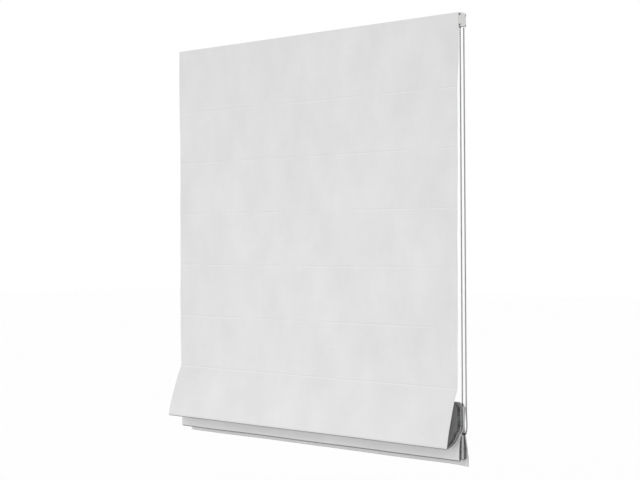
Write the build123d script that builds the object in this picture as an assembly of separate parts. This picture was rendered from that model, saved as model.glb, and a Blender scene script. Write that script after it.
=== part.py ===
from build123d import *

import math
import os

# Roman blind, partly raised, millimetres. X runs along the width (the chain is at +X), -Y is the room side
# and +Z is up. The origin is on the top face of the middle bracket, where it meets the ceiling or lintel.

# ---- cloth ----
cloth_width = 1100.0
cloth_thick = 0.6
first_batten_drop = 375.0  # from the cloth's top edge to the first batten
batten_pitch = 336.5  # cloth between one batten and the next
flat_battens = 3  # battens behind the flat part; the last one is at the crease of the big fold

# ---- headrail, an aluminium extrusion ----
rail_depth = 36.0
rail_height = 36.0
rail_wall = 1.3
rail_below_mount = 1.8  # from the mounting plane down to the rail's top
top_lip = 3.2
top_groove = 3.2
bottom_lip = 5.5
tape_thick = 2.0
tape_height = 25.0
cap_plate = 2.0
plug_length = 14.0
plug_clearance = 0.2

# ---- brackets ----
bracket_plate = 1.5
bracket_width = 30.0
bracket_spacing = 400.0
bracket_count = 3
bracket_foot = 1.2
bracket_leg_gap = 1.3  # between a leg and the rail's lip
bracket_foot_gap = 0.6  # between a foot's tip and the rail's wall
hole_radius = 2.25
hole_spacing = 18.0

# ---- drive ----
bead_diameter = 4.5
bead_pitch = 6.0
wheel_beads = 10
shaft_flats = 6.0
shaft_y = -1.5  # from the rail's middle
shaft_drop = 21.0  # from the mounting plane to the shaft's axis
fit_clearance = 0.1
running_gap = 0.3
wheel_rims = 1.7  # how much wider the wheel is than its beads
wheel_lip = 0.8  # how far the wheel's rims rise over the beads' middle line
wheel_side_gap = 0.5
wheel_round_gap = 0.4  # between the beads and the shroud
hub_end_gap = 2.0
blind_end = 1.0  # wall left at the closed end of the left bearing
spool_radius = 8.0
spool_length = 30.0
spool_flange_radius = 11.0
spool_flange = 2.0
journal_radius = 5.0
journal_length = 4.0
cradle_wall = 2.5
cradle_base = 1.5
cradle_over_bearing = 3.0
eye_gap = 0.9  # round the cord where it leaves the cradle
cover_thick = 1.4
cover_corner = 2.5
slot_level = 6.0  # from the cover's top and bottom edges to its snap slots
slot_inset = 2.2
slot_width = 1.6
slot_height = 3.2
housing_height = 38.0
housing_wall = 1.2

# ---- lift cords ----
cord_radius = 0.6
cord_count = 4
cord_spacing = 300.0
ring_radius = 4.5
ring_wire = 0.9
stop_radius = 2.6
stop_length = 7.0
ring_seat_gap = 0.1  # between a batten and its ring's saddle
ring_gap = 0.2
saddle_height = 3.0
saddle_length = 4.0
saddle_thick = 1.1
tail_above_crease = 6.0  # where the tight cord hands over to its tail
tail_past_ring = 4.0

# ---- battens and bottom bar ----
batten_radius = 1.5
batten_inset = 5.0  # each end stops this far inside the cloth's edge
bar_thick = 3.0
bar_height = 22.0
bar_cap_length = 3.0
bar_cap_wall = 0.2
bar_above_hem = 1.9

# ---- bead chain ----
chain_straight_end = -1108.0
chain_lean = 12.5  # the hanging loop stands this much further back at its foot
chain_turn_radius = 15.1
chain_turn_height = -1165.0
connector_length = 10.0
connector_wall = 0.8
connector_gap = 0.05
connector_up = 120.0  # along the back strand from the foot of its straight run
chain_exit_gap = 0.5
chain_bend = 300.0  # largest arc where a strand starts to lean

os.makedirs("parts", exist_ok=True)

# ---- places that follow from the sizes ----
rail_top = -rail_below_mount
rail_bottom = rail_top - rail_height
rail_front = -rail_depth / 2
rail_inner = rail_depth / 2 - rail_wall
web_top = rail_top - rail_wall - top_groove
chamber_top = web_top - rail_wall
cloth_back = rail_front - tape_thick
cloth_front = cloth_back - cloth_thick
cloth_top = rail_top
crease = cloth_top - first_batten_drop - (flat_battens - 1) * batten_pitch
half_width = cloth_width / 2
rail_end = half_width - cap_plate
shaft_z = -shaft_drop
wheel_radius = wheel_beads * bead_pitch / (2 * math.pi)
bead_radius = bead_diameter / 2
cord_y = shaft_y - spool_radius - cord_radius - fit_clearance
batten_y = cloth_back + running_gap + batten_radius
cord_places = [(i - (cord_count - 1) / 2) * cord_spacing for i in range(cord_count)]
housing_bottom = rail_top - housing_height
cavity_radius = wheel_radius + bead_radius + wheel_round_gap
housing_half = cavity_radius + housing_wall
wheel_width = bead_diameter + wheel_rims
wheel_x = half_width + wheel_side_gap + wheel_width / 2
cover_inside = half_width + 2 * wheel_side_gap + wheel_width
chain_front = shaft_y - wheel_radius
chain_back = shaft_y + wheel_radius
chain_exit = housing_bottom - chain_exit_gap
ring_rise = batten_radius + ring_seat_gap + ring_radius + ring_wire + ring_gap


def save(shape, name):
    """Write one piece of the blind."""
    export_step(shape, f"parts/{name}.step")


def bar_x(y0, y1, z0, z1, x0, x1):
    """A straight block between two corners."""
    size = Box(x1 - x0, y1 - y0, z1 - z0)
    return Pos((x0 + x1) / 2, (y0 + y1) / 2, (z0 + z1) / 2) * size


def rod_x(radius, y, z, x0, x1):
    """A round bar along X."""
    return Pos((x0 + x1) / 2, y, z) * Rot(0, 90, 0) * Cylinder(radius, x1 - x0)


def hex_x(flats, y, z, x0, x1):
    """A six-sided bar along X."""
    start = Plane((x0, y, z), x_dir=(0, 1, 0), z_dir=(1, 0, 0))
    return extrude(start * RegularPolygon(flats / 2, 6, major_radius=False), x1 - x0)


def tube(points, radius, radii, name):
    """A cord of straight runs joined by tangent arcs."""
    path = FilletPolyline(*points, radius=radii)
    start = Plane(path @ 0, z_dir=path % 0)
    print(name, "arc radii", [round(r, 1) for r in radii], "length", round(path.length, 1))
    return sweep(start * Circle(radius), path=path)


def arc_radii(points):
    """The largest tangent arc that the two runs beside each corner allow."""
    radii = []
    for before, corner, after in zip(points, points[1:], points[2:]):
        a = Vector(*corner) - Vector(*before)
        b = Vector(*after) - Vector(*corner)
        turn = math.radians(a.get_angle(b))
        radii.append(0.45 * min(a.length, b.length) / math.tan(turn / 2))
    return radii


# ---- headrail ----
def rail_section_block(y0, y1, z0, z1):
    """One wall of the extrusion, along the whole rail."""
    return bar_x(y0, y1, z0, z1, -rail_end, rail_end)


def make_headrail():
    """A box section, open below for the cords, with a lipped groove on top for the brackets."""
    half = rail_depth / 2
    rail = rail_section_block(-half, half, chamber_top, web_top)
    for side in (-1, 1):
        outer = side * half
        inner = side * rail_inner
        low, high = sorted((outer, inner))
        rail += rail_section_block(low, high, rail_bottom, rail_top)
        low, high = sorted((outer, outer - side * (rail_wall + top_lip)))
        rail += rail_section_block(low, high, rail_top - rail_wall, rail_top)
        low, high = sorted((outer, outer - side * (rail_wall + bottom_lip)))
        rail += rail_section_block(low, high, rail_bottom, rail_bottom + rail_wall)
    return rail


def make_bracket(x):
    """A pressed clip: a screwed plate with two legs whose feet hold the rail's top lips."""
    gap = rail_depth / 2 - rail_wall - top_lip
    leg = gap - bracket_leg_gap
    left = x - bracket_width / 2
    right = x + bracket_width / 2
    foot_top = rail_top - rail_wall
    clip = bar_x(-leg, leg, -bracket_plate, 0, left, right)
    for side in (-1, 1):
        low, high = sorted((side * leg, side * (leg - bracket_foot)))
        clip += bar_x(low, high, foot_top - bracket_foot, 0, left, right)
        low, high = sorted((side * leg, side * (gap + top_lip - bracket_foot_gap)))
        clip += bar_x(low, high, foot_top - bracket_foot, foot_top, left, right)
    for side in (-1, 1):
        hole = Cylinder(hole_radius, 3 * bracket_plate)
        clip -= Pos(x + side * hole_spacing / 2, 0, -bracket_plate / 2) * hole
    return clip


def make_plug(outer_x, side):
    """The end cap's plate and the plug that fills the rail's chamber, with a bearing for the shaft."""
    inner_x = outer_x - side * cap_plate
    deep_x = inner_x - side * plug_length
    low, high = sorted((outer_x, inner_x))
    half = rail_depth / 2
    cap = bar_x(-half, half, rail_bottom, rail_top, low, high)
    wall = rail_inner - plug_clearance
    low, high = sorted((inner_x, deep_x))
    plug_low = rail_bottom + rail_wall + plug_clearance
    cap += bar_x(-wall, wall, plug_low, chamber_top - plug_clearance, low, high)
    hollow = wall - rail_wall
    low, high = sorted((inner_x - side * cap_plate, deep_x - side))
    cap -= bar_x(-hollow, hollow, plug_low + rail_wall, chamber_top - plug_clearance - rail_wall, low, high)
    return cap


def make_left_cap():
    """The plain end cap. Its bearing holds the shaft's idle end."""
    cap = make_plug(-half_width, -1)
    bore = shaft_flats / math.sqrt(3) + fit_clearance
    return cap - rod_x(bore, shaft_y, shaft_z, -half_width + blind_end, -rail_end + plug_length)


def make_housing():
    """The control unit: an end cap whose outer side is a shroud for the chain wheel, open below."""
    unit = make_plug(half_width, 1)
    shroud = bar_x(
        shaft_y - housing_half, shaft_y + housing_half, housing_bottom, rail_top, half_width, cover_inside
    )
    cavity = rod_x(cavity_radius, shaft_y, shaft_z, half_width, cover_inside)
    cavity += bar_x(
        shaft_y - cavity_radius, shaft_y + cavity_radius, housing_bottom, shaft_z, half_width, cover_inside
    )
    unit += shroud - cavity
    hub_bore = journal_radius + running_gap
    return unit - rod_x(hub_bore, shaft_y, shaft_z, half_width - cap_plate - plug_length, half_width + 1)


def make_cover():
    """The shroud's outer plate, with a rounded outline and four snap slots."""
    middle_z = (rail_top + housing_bottom) / 2
    plate = bar_x(
        shaft_y - housing_half,
        shaft_y + housing_half,
        housing_bottom,
        rail_top,
        cover_inside,
        cover_inside + cover_thick,
    )
    plate = fillet(plate.edges().filter_by(Axis.X), cover_corner)
    slot = Box(4 * cover_thick, slot_width, slot_height)
    for side in (-1, 1):
        for level in (rail_top - slot_level, housing_bottom + slot_level):
            plate -= Pos(cover_inside, shaft_y + side * (housing_half - slot_inset), level) * slot
    return plate


# ---- drive ----
def make_wheel():
    """The chain wheel, grooved for the beads, with a hub that reaches the shaft through the housing."""
    flange = wheel_radius + wheel_lip
    wheel = rod_x(flange, shaft_y, shaft_z, wheel_x - wheel_width / 2, wheel_x + wheel_width / 2)
    hub_end = half_width - cap_plate - plug_length + hub_end_gap
    wheel += rod_x(journal_radius, shaft_y, shaft_z, hub_end, wheel_x)
    groove = Pos(wheel_x, shaft_y, shaft_z) * Rot(0, 90, 0) * Torus(wheel_radius, bead_radius + running_gap)
    wheel -= groove
    return wheel - hex_x(shaft_flats + 2 * fit_clearance, shaft_y, shaft_z, hub_end - 1, half_width - 2)


def make_spool(x):
    """A cord drum with end flanges and journals, sliding on the shaft."""
    half = spool_length / 2
    spool = rod_x(spool_radius, shaft_y, shaft_z, x - half, x + half)
    for side in (-1, 1):
        low, high = sorted((x + side * half, x + side * (half - spool_flange)))
        spool += rod_x(spool_flange_radius, shaft_y, shaft_z, low, high)
        low, high = sorted((x + side * half, x + side * (half + journal_length)))
        spool += rod_x(journal_radius, shaft_y, shaft_z, low, high)
    reach = half + journal_length + 1
    return spool - hex_x(shaft_flats + 2 * fit_clearance, shaft_y, shaft_z, x - reach, x + reach)


def make_cradle(x):
    """The spool's carrier: a base on the rail's bottom lips, two bearing walls and the cord's eye."""
    inner = spool_length / 2 + running_gap
    outer = inner + cradle_wall
    base_low = rail_bottom + rail_wall
    wide = rail_inner - plug_clearance
    cradle = bar_x(-wide, wide, base_low, base_low + cradle_base, x - outer, x + outer)
    for side in (-1, 1):
        low, high = sorted((x + side * inner, x + side * outer))
        cradle += bar_x(-wide, wide, base_low, shaft_z + journal_radius + cradle_over_bearing, low, high)
    cradle -= rod_x(journal_radius + fit_clearance, shaft_y, shaft_z, x - outer - 1, x + outer + 1)
    return cradle - Pos(x, cord_y, base_low) * Cylinder(cord_radius + eye_gap, 4 * cradle_base)


# ---- gathered cloth ----
hairpins = [(19.0, -43.0), (35.0, -48.0), (42.5, -57.0)]  # where the loops hang over battens 4, 5 and 6
hairpin_half = 1.5
hairpin_arc = 1.4
hem_front = 54.0
hem_back = 58.4
hem_bottom = -221.0
hem_turn_up = 29.0

# The gathered cloth's middle line, as (distance behind the cloth's front plane, height above the crease,
# largest arc). It leaves the crease, makes the big open fold, and then two loops and the bottom panel.
fold_line = [
    (cloth_thick / 2, -cloth_thick / 2, 0),
    (cloth_thick / 2, -2.5, 4),
    (-14.0, -30.0, 60),
    (-46.5, -118.0, 120),
    (-55.0, -164.0, 6),
    (-10.0, -154.5, 60),
    (17.5, -126.0, 45),
    (hairpins[0][0] - hairpin_half, hairpins[0][1], hairpin_arc),
    (hairpins[0][0] + hairpin_half, hairpins[0][1], hairpin_arc),
    (21.0, -118.0, 60),
    (8.5, -152.0, 40),
    (8.0, -204.0, 8),
    (24.7, -204.0, 8),
    (24.5, -108.0, 90),
    (hairpins[1][0] - hairpin_half, hairpins[1][1], hairpin_arc),
    (hairpins[1][0] + hairpin_half, hairpins[1][1], hairpin_arc),
    (27.5, -106.0, 90),
    (31.0, -203.5, 8.5),
    (49.5, -203.5, 8.5),
    (50.0, -172.0, 40),
    (30.5, -104.0, 90),
    (hairpins[2][0] - hairpin_half, hairpins[2][1], hairpin_arc),
    (hairpins[2][0] + hairpin_half, hairpins[2][1], hairpin_arc),
    (33.5, -104.0, 90),
    (hem_front, -180.0, 60),
    (hem_front, hem_bottom, 2),
    (hem_back, hem_bottom, 2),
    (hem_back, hem_bottom + hem_turn_up, 0),
]


def fold_point(depth, height):
    """A point of the fold line in the blind's own Y and Z."""
    return cloth_front + depth, crease + height


def make_lower_cloth():
    """The cloth below the crease, one folded sheet."""
    points = [fold_point(d, h) for d, h, _ in fold_line]
    flat = [Vector(0, y, z) for y, z in points]
    radii = [r for _, _, r in fold_line[1:-1]]
    line = FilletPolyline(*flat, radius=radii)
    print("gathered cloth length", round(line.length, 1))
    plane = Plane((0, 0, 0), x_dir=(0, 1, 0), z_dir=(1, 0, 0))
    local = plane.to_local_coords(line)
    outline = offset(local, amount=cloth_thick / 2, side=Side.BOTH)
    sheet = plane * make_face(outline.edges())
    return extrude(sheet, half_width, both=True)


def make_upper_cloth():
    """The flat cloth, from the headrail down to the crease."""
    return bar_x(cloth_front, cloth_back, crease, cloth_top, -half_width, half_width)


# ---- battens, rings and cords ----
def batten_place(number):
    """The middle of batten 1 to 6, as (y, z)."""
    if number <= flat_battens:
        return batten_y, cloth_top - first_batten_drop - (number - 1) * batten_pitch
    depth, height = hairpins[number - flat_battens - 1]
    y, z = fold_point(depth, height)
    return y, z + cloth_thick / 2 + running_gap + batten_radius


def make_batten(number):
    """A round glass-fibre rod."""
    y, z = batten_place(number)
    reach = half_width - batten_inset
    return rod_x(batten_radius, y, z, -reach, reach)


def make_ring(number, x):
    """A ring for one lift cord, on a saddle against the batten."""
    y, z = batten_place(number)
    seat = batten_radius + ring_seat_gap
    left = x - saddle_length / 2
    right = x + saddle_length / 2
    tall = saddle_height / 2
    if number <= flat_battens:
        ring = Pos(x, cord_y, z) * Torus(ring_radius, ring_wire)
        return ring + bar_x(y + seat, cord_y - ring_radius, z - tall, z + tall, left, right)
    ring = Pos(x, y, z + ring_rise) * Rot(90, 0, 0) * Torus(ring_radius, ring_wire)
    return ring + bar_x(y - tall, y + tall, z + seat, z + seat + saddle_thick, left, right)


def ring_middle(number):
    """Where the cord passes a gathered batten's ring, as (y, z)."""
    y, z = batten_place(number)
    return y, z + ring_rise


tail_top = crease + tail_above_crease


def tail_points(x):
    """The lift cord from the crease over the gathered battens to its stop."""
    first = ring_middle(4)
    second = ring_middle(5)
    third = ring_middle(6)
    slope = (second[1] - first[1]) / (second[0] - first[0])
    corner = first[1] + (cord_y - first[0]) * slope
    fall = (third[1] - second[1]) / (third[0] - second[0])
    end_y = third[0] + tail_past_ring
    end_z = third[1] + tail_past_ring * fall
    return [(x, cord_y, tail_top), (x, cord_y, corner), (x, *second), (x, end_y, end_z)]


def make_cord(x):
    """The tight lift cord from the spool down to the crease."""
    length = shaft_z - tail_top
    return Pos(x, cord_y, (shaft_z + tail_top) / 2) * Cylinder(cord_radius, length)


def make_tail(x, name):
    """The cord's end, through the rings of the gathered battens."""
    points = tail_points(x)
    return tube(points, cord_radius, arc_radii(points), name)


def make_stop(x):
    """The barrel that holds the cord's end behind the last ring."""
    points = tail_points(x)
    end = Vector(*points[-1])
    way = (end - Vector(*points[-2])).normalized()
    middle = end + way * (stop_length / 2)
    return Plane(middle, z_dir=way) * Cylinder(stop_radius, stop_length)


# ---- bottom bar ----
def bar_block(x0, x1, grow):
    """A length of the flat bar in the hem."""
    middle = cloth_front + (hem_front + hem_back) / 2
    low = crease + hem_bottom + bar_above_hem
    return bar_x(middle - bar_thick / 2 - grow, middle + bar_thick / 2 + grow, low, low + bar_height, x0, x1)


# ---- bead chain ----
def chain_points():
    """The hanging loop: two straight strands that lean back a little, and a round turn at the foot."""
    foot = shaft_y + chain_lean
    side = chain_turn_radius
    drop = chain_turn_radius * math.tan(math.radians(30))
    low = chain_turn_height - chain_turn_radius / math.cos(math.radians(30))
    return [
        (wheel_x, chain_front, chain_exit),
        (wheel_x, chain_front + chain_lean, chain_straight_end),
        (wheel_x, foot - side, chain_turn_height - drop),
        (wheel_x, foot, low),
        (wheel_x, foot + side, chain_turn_height - drop),
        (wheel_x, chain_back + chain_lean, chain_straight_end),
        (wheel_x, chain_back, chain_exit),
    ]


def make_chain():
    """The hanging part of the bead chain."""
    points = chain_points()
    radii = arc_radii(points)
    radii[0] = min(radii[0], chain_bend)
    radii[-1] = min(radii[-1], chain_bend)
    return tube(points, bead_radius, radii, "bead_chain")


def make_chain_on_wheel():
    """The part of the chain inside the shroud, over the wheel."""
    low = chain_exit + fit_clearance
    front = (wheel_x, chain_front, shaft_z)
    back = (wheel_x, chain_back, shaft_z)
    path = Line((wheel_x, chain_front, low), front)
    path += ThreePointArc(front, (wheel_x, shaft_y, shaft_z + wheel_radius), back)
    path += Line(back, (wheel_x, chain_back, low))
    start = Plane((wheel_x, chain_front, low), z_dir=(0, 0, 1))
    return sweep(start * Circle(bead_radius), path=path)


def make_connector():
    """The clasp that closes the chain, a sleeve on the back strand."""
    points = chain_points()
    top = Vector(*points[-1])
    foot = Vector(*points[-2])
    way = (top - foot).normalized()
    middle = foot + way * connector_up
    hollow = bead_radius + connector_gap
    sleeve = Cylinder(hollow + connector_wall, connector_length) - Cylinder(hollow, connector_length + 2)
    return Plane(middle, z_dir=way) * sleeve


# ---- write every piece ----
save(make_headrail(), "headrail")
tape_top = rail_top - (rail_height - tape_height) / 2
tape = bar_x(cloth_back, rail_front, tape_top - tape_height, tape_top, -rail_end, rail_end)
save(tape, "hook_tape")
save(make_left_cap(), "end_cap")
save(make_housing(), "control_housing")
save(make_cover(), "housing_cover")
save(make_wheel(), "chain_wheel")
shaft_left = -rail_end + blind_end
shaft_right = half_width - cap_plate - blind_end
save(hex_x(shaft_flats, shaft_y, shaft_z, shaft_left, shaft_right), "drive_shaft")
for i in range(bracket_count):
    save(make_bracket((i - (bracket_count - 1) / 2) * bracket_spacing), f"bracket_{i + 1}")
for i, place in enumerate(cord_places, 1):
    save(make_spool(place), f"spool_{i}")
    save(make_cradle(place), f"cradle_{i}")
    save(make_cord(place), f"lift_cord_{i}")
    save(make_tail(place, f"cord_tail_{i}"), f"cord_tail_{i}")
    save(make_stop(place), f"cord_stop_{i}")
save(make_upper_cloth(), "cloth_upper")
save(make_lower_cloth(), "cloth_lower")
for number in range(1, flat_battens + len(hairpins) + 1):
    save(make_batten(number), f"batten_{number}")
    save(Compound(children=[make_ring(number, place) for place in cord_places]), f"rings_{number}")
reach = half_width - batten_inset
save(bar_block(-reach, reach, 0), "bottom_bar")
save(bar_block(-reach - bar_cap_length, -reach, bar_cap_wall), "bar_cap_left")
save(bar_block(reach, reach + bar_cap_length, bar_cap_wall), "bar_cap_right")
save(make_chain(), "bead_chain")
save(make_chain_on_wheel(), "chain_over_wheel")
save(make_connector(), "chain_connector")
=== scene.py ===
import logging
import math
from dataclasses import dataclass
from enum import Enum
from itertools import product
from typing import Callable, Iterable, Optional, Union

import bpy
import numpy as np
from mathutils import Matrix, Vector, noise


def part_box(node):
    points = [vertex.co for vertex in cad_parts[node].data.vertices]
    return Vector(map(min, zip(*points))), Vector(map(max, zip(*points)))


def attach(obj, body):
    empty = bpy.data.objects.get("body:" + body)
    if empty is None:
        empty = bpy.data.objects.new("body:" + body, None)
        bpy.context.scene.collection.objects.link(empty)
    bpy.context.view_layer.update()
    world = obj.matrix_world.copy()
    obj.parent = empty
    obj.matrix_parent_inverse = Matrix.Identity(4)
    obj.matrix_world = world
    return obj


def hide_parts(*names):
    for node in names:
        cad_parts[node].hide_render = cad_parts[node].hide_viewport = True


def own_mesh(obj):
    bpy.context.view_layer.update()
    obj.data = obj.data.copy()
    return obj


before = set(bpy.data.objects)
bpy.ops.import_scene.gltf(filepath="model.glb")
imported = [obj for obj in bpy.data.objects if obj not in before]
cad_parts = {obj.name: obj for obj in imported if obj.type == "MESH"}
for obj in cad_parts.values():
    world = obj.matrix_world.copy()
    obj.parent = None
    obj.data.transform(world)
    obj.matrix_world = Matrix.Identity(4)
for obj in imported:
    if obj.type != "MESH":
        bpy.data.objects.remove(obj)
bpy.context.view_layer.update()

LOG = logging.getLogger("roman_blind")
MM = 0.001

Number = Union[int, float, "Value"]
Pair = tuple[float, float]
Point = tuple[float, float, float]
Mesh = tuple[np.ndarray, list[tuple[int, ...]]]
ALONG_X = np.array([1.0, 0.0, 0.0])
ALONG_Y = np.array([0.0, 1.0, 0.0])
STEEP = 0.9  # the share of a direction along X from which another guide is taken


# ---------------------------------------------------------------- shader expressions
class Value:
    """One number that varies over a surface, with Python's operators."""

    def __init__(self, shader: "Shader", socket: bpy.types.NodeSocket) -> None:
        """Keep the socket that gives the number.

        Args:
            shader: the shader that the socket belongs to.
            socket: an output socket.
        """
        self.shader = shader
        self.socket = socket

    def _math(self, operation: str, *values: Number) -> "Value":
        """Return a Math node's result.

        Args:
            operation: the Math node's operation.
            values: its inputs, in order.

        Returns:
            The result as a Value.
        """
        node = self.shader.add("ShaderNodeMath", {"operation": operation}, dict(enumerate(values)))
        return Value(self.shader, node.outputs[0])

    def __add__(self, other: Number) -> "Value":
        """Add."""
        return self._math("ADD", self, other)

    __radd__ = __add__

    def __sub__(self, other: Number) -> "Value":
        """Subtract."""
        return self._math("SUBTRACT", self, other)

    def __rsub__(self, other: Number) -> "Value":
        """Subtract from a plain number."""
        return self._math("SUBTRACT", other, self)

    def __mul__(self, other: Number) -> "Value":
        """Multiply."""
        return self._math("MULTIPLY", self, other)

    __rmul__ = __mul__

    def __pow__(self, other: Number) -> "Value":
        """Raise to a power."""
        return self._math("POWER", self, other)

    def __abs__(self) -> "Value":
        """Drop the sign."""
        return self._math("ABSOLUTE", self)

    def sine(self) -> "Value":
        """Return the sine of the number in radians."""
        return self._math("SINE", self)

    def wrap(self, pitch: float) -> "Value":
        """Return the distance to the nearest multiple of the pitch, with its sign."""
        return self._math("WRAP", self, pitch / 2, -pitch / 2)

    def ramp(self, low: float, high: float) -> "Value":
        """Return 0 below low, 1 above high and a straight slope between."""
        node = self.shader.add("ShaderNodeMapRange", {}, {"Value": self, "From Min": low, "From Max": high})
        return Value(self.shader, node.outputs["Result"])


class Shader:
    """A material's node tree around one Principled shader."""

    def __init__(self, name: str) -> None:
        """Start an empty material.

        Args:
            name: the material's name.
        """
        self.material = bpy.data.materials.new(name)
        self.material.use_nodes = True
        self.tree = self.material.node_tree
        self.surface = next(n for n in self.tree.nodes if n.type == "BSDF_PRINCIPLED")

    def add(self, kind: str, settings: dict, inputs: dict) -> bpy.types.Node:
        """Add any node.

        Args:
            kind: the node's type.
            settings: its attributes, set first.
            inputs: values or links of its sockets, by name or number.

        Returns:
            The new node.
        """
        node = self.tree.nodes.new(kind)
        for key, value in settings.items():
            setattr(node, key, value)
        for key, value in inputs.items():
            self.feed(node.inputs[key], value)
        return node

    def feed(self, socket: bpy.types.NodeSocket, value: object) -> None:
        """Set a socket's value, or link it.

        Args:
            socket: an input socket.
            value: a plain value, a Value or an output socket.
        """
        if isinstance(value, Value):
            self.tree.links.new(value.socket, socket)
        elif isinstance(value, bpy.types.NodeSocket):
            self.tree.links.new(value, socket)
        else:
            socket.default_value = value

    def place(self, scale: Point = (1.0, 1.0, 1.0)) -> bpy.types.NodeSocket:
        """Return the object's own coordinates, scaled."""
        source = self.add("ShaderNodeTexCoord", {}, {}).outputs["Object"]
        return self.add("ShaderNodeMapping", {}, {"Vector": source, "Scale": scale}).outputs["Vector"]

    def cut(self, scale: Point = (1.0, 1.0, 1.0)) -> bpy.types.NodeSocket:
        """Return the flat cloth's coordinates in metres, scaled."""
        source = self.add("ShaderNodeUVMap", {"uv_map": "cut"}, {}).outputs["UV"]
        return self.add("ShaderNodeMapping", {}, {"Vector": source, "Scale": scale}).outputs["Vector"]

    def split(self, vector: bpy.types.NodeSocket) -> tuple[Value, Value, Value]:
        """Return a vector's three numbers."""
        outputs = self.add("ShaderNodeSeparateXYZ", {}, {"Vector": vector}).outputs
        return Value(self, outputs[0]), Value(self, outputs[1]), Value(self, outputs[2])

    def noise(self, vector: bpy.types.NodeSocket, scale: float, detail: float = 2.0, rough: float = 0.5) -> Value:
        """Return cloudy noise from 0 to 1."""
        inputs = {"Vector": vector, "Scale": scale, "Detail": detail, "Roughness": rough}
        return Value(self, self.add("ShaderNodeTexNoise", {}, inputs).outputs[0])

    def cells(self, vector: bpy.types.NodeSocket, scale: float) -> Value:
        """Return the distance to the nearest of scattered points."""
        node = self.add("ShaderNodeTexVoronoi", {}, {"Vector": vector, "Scale": scale})
        return Value(self, node.outputs["Distance"])

    def facing(self) -> tuple[Value, Value, Value]:
        """Return the direction that the surface faces."""
        return self.split(self.add("ShaderNodeNewGeometry", {}, {}).outputs["Normal"])

    def tint(self, share: Value, dark: Point, light: Union[Point, bpy.types.NodeSocket]) -> bpy.types.NodeSocket:
        """Return a colour between a dark one and a light one, which may itself vary."""
        top = light if isinstance(light, bpy.types.NodeSocket) else (*light, 1.0)
        return self.add("ShaderNodeMix", {"data_type": "RGBA"}, {0: share, 6: (*dark, 1.0), 7: top}).outputs[2]

    def threads(self, pitch: float) -> Value:
        """Return the crossed threads of a plain weave."""
        across, down, _ = self.split(self.cut())
        turn = 2 * math.pi / pitch
        return (across * turn).sine() * (down * turn).sine()

    def bump(self, height: Value, depth: float, strength: float = 1.0) -> None:
        """Feed a height, in metres times depth, to the surface's normal."""
        node = self.add("ShaderNodeBump", {}, {"Height": height, "Distance": depth, "Strength": strength})
        self.feed(self.surface.inputs["Normal"], node.outputs["Normal"])

    def set(self, **sockets: object) -> None:
        """Set the surface's sockets, named with underscores for spaces."""
        for key, value in sockets.items():
            self.feed(self.surface.inputs[key.replace("_", " ")], value)


class Finish:
    """A surface finish. Each kind makes its material once."""

    name = "finish"

    def build(self, shader: Shader) -> None:
        """Add the finish's nodes.

        Args:
            shader: the material to dress.
        """
        raise NotImplementedError

    def material(self) -> bpy.types.Material:
        """Return the finish's material, making it the first time.

        Returns:
            The material that bears the finish's name.
        """
        found = bpy.data.materials.get(self.name)
        if found:
            return found
        shader = Shader(self.name)
        self.build(shader)
        return shader.material


@dataclass(frozen=True)
class Weave(Finish):
    """The cloth's white face: a plain weave with slubs and soft patches, painted shade on surfaces that face down, and
    painted shade over painted highlight along its pressed folds.
    """

    name: str = "cloth_face"
    dark: Point = (0.61, 0.61, 0.61)
    light: Point = (0.688, 0.688, 0.688)
    fold_first: float = 206.75 * MM
    fold_pitch: float = 168.25 * MM
    fold_wander: float = 3.0 * MM
    fold_start: Pair = (100.0 * MM, 150.0 * MM)
    last_fold: Pair = (1028.0 * MM, 1033.0 * MM)
    painted_shade_line: Pair = (1.0 * MM, 2.0 * MM)
    painted_highlight_line: Pair = (1.9 * MM, 2.4 * MM)
    # Near-black colour of the painted shade on surfaces that face down.
    painted_under_shade: Point = (0.05, 0.05, 0.05)
    pitch: float = 0.7 * MM
    relief: float = 0.05 * MM

    def build(self, shader: Shader) -> None:
        """Cross two sets of threads, and break them with long thin slubs."""
        _, down, _ = shader.split(shader.cut())
        threads = shader.threads(self.pitch)
        warp = shader.noise(shader.cut((900.0, 14.0, 1.0)), 1.0, 3.0)
        weft = shader.noise(shader.cut((14.0, 900.0, 1.0)), 1.0, 3.0)
        slubs = (warp + weft) * 0.5
        patches = shader.noise(shader.cut((9.0, 5.0, 1.0)), 1.0, 3.0, 0.6)
        # The crease lines add painted shade over painted highlight to the tone.
        share = (slubs - 0.5) * 1.4 + (patches - 0.5) * 1.5 + 0.5 + self.creases(shader, down * -1.0)
        unshaded_tone = shader.tint(share.ramp(0.0, 1.0), self.dark, self.light)
        # Painted shade: surfaces that face down are tinted towards the near-black colour, standing in for the shade
        # under the folds.
        under = shader.facing()[2].ramp(-0.85, -0.3)
        shader.set(Base_Color=shader.tint(under, self.painted_under_shade, unshaded_tone), Roughness=0.86, Sheen_Weight=0.12,
                   Sheen_Roughness=0.5, Specular_IOR_Level=0.25)
        shader.bump(threads * 0.35 + slubs * 1.6, self.relief, 0.8)

    def creases(self, shader: Shader, down: Value) -> Value:
        """Return the broken lines of painted shade over painted highlight along the pressed folds.

        Args:
            shader: the material.
            down: the distance down the cloth in metres.

        Returns:
            What the lines add to the tint's share.
        """
        wander = shader.noise(shader.cut((5.0, 0.0, 1.0)), 1.0, 3.0)
        gap = (down - self.fold_first + (wander - 0.5) * self.fold_wander).wrap(self.fold_pitch)
        broken = shader.noise(shader.cut((8.0, 3.0, 1.0)), 1.0, 3.0).ramp(0.38, 0.6)
        # dark is the painted shade line just above each fold, light the painted highlight line just below it.
        dark = abs(gap + self.painted_shade_line[0]).ramp(self.painted_shade_line[1], 0.0)
        light = abs(gap - self.painted_highlight_line[0]).ramp(self.painted_highlight_line[1], 0.0)
        start = down.ramp(*self.fold_start)
        last = down.ramp(*self.last_fold)
        kept = broken * (1.0 - last) + last * 1.5
        return (light * 0.8 - dark * 0.9) * kept * start


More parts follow.
